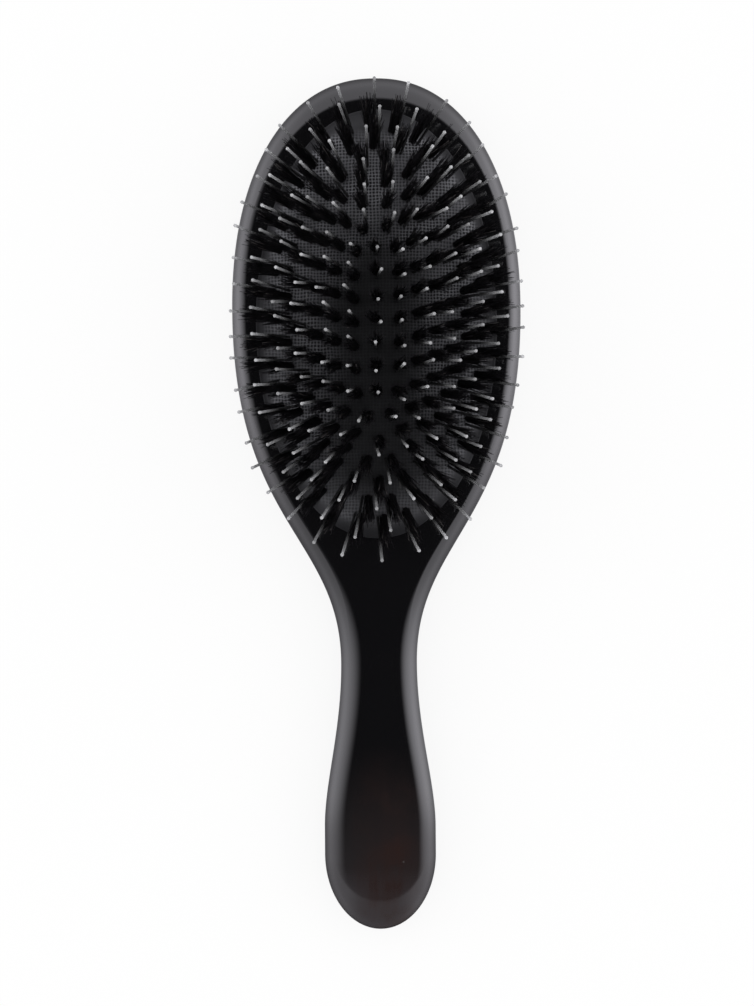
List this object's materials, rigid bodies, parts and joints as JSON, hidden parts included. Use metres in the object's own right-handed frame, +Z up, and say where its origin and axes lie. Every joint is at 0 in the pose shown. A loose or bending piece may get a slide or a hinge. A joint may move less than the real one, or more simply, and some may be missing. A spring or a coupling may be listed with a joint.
{
  "type": "hair brush",
  "caption": "Oval air-cushion hair brush: lacquered wooden body and handle, domed rubber pad, and black bristle tufts with ball-tipped pins.",
  "frame": {"origin": "under the middle of the brush's box, on the surface that its flat back lies on", "axes": "+Y along the brush towards the head's end, +Z up out of the bristle face, +X to the right seen from above"},
  "size_m": [0.082, 0.24, 0.0505],
  "materials": {
    "lacquered_wood": "black gloss lacquer",
    "cushion_rubber": "matt, with a fine woven texture",
    "tufted_cushion": "matt rubber with tufts standing on it",
    "nylon_pin": "smoky translucent nylon",
    "boar_bristle": "black natural bristle"
  },
  "bodies": {
    "brush_body": {"wood_body": "lacquered_wood", "cushion_rim": "cushion_rubber"},
    "row_0": {"tuft_row_0": "tufted_cushion"},
    "row_1": {"tuft_row_1": "tufted_cushion"},
    "row_2": {"tuft_row_2": "tufted_cushion"},
    "row_3": {"tuft_row_3": "tufted_cushion"},
    "row_4": {"tuft_row_4": "tufted_cushion"},
    "row_5": {"tuft_row_5": "tufted_cushion"},
    "row_6": {"tuft_row_6": "tufted_cushion"}
  },
  "joints": [
    {"name": "cushion_press", "type": "slide", "parent": "brush_body", "child": "row_0", "axis": [0, 0, -1], "range_m": [0, 0.0045], "stiffness_N_per_m": 1500},
    {"name": "row_1_press", "type": "slide", "parent": "brush_body", "child": "row_1", "axis": [0, 0, -1], "range_m": [0, 0.00441]},
    {"name": "row_2_press", "type": "slide", "parent": "brush_body", "child": "row_2", "axis": [0, 0, -1], "range_m": [0, 0.00413]},
    {"name": "row_3_press", "type": "slide", "parent": "brush_body", "child": "row_3", "axis": [0, 0, -1], "range_m": [0, 0.00367]},
    {"name": "row_4_press", "type": "slide", "parent": "brush_body", "child": "row_4", "axis": [0, 0, -1], "range_m": [0, 0.00303]},
    {"name": "row_5_press", "type": "slide", "parent": "brush_body", "child": "row_5", "axis": [0, 0, -1], "range_m": [0, 0.0022]},
    {"name": "row_6_press", "type": "slide", "parent": "brush_body", "child": "row_6", "axis": [0, 0, -1], "range_m": [0, 0.0012]}
  ],
  "couplings": [
    {"joint": "row_1_press", "follows": "cushion_press", "ratio": 0.9788},
    {"joint": "row_2_press", "follows": "cushion_press", "ratio": 0.9164},
    {"joint": "row_3_press", "follows": "cushion_press", "ratio": 0.8134},
    {"joint": "row_4_press", "follows": "cushion_press", "ratio": 0.6702},
    {"joint": "row_5_press", "follows": "cushion_press", "ratio": 0.4869},
    {"joint": "row_6_press", "follows": "cushion_press", "ratio": 0.2639}
  ]
}
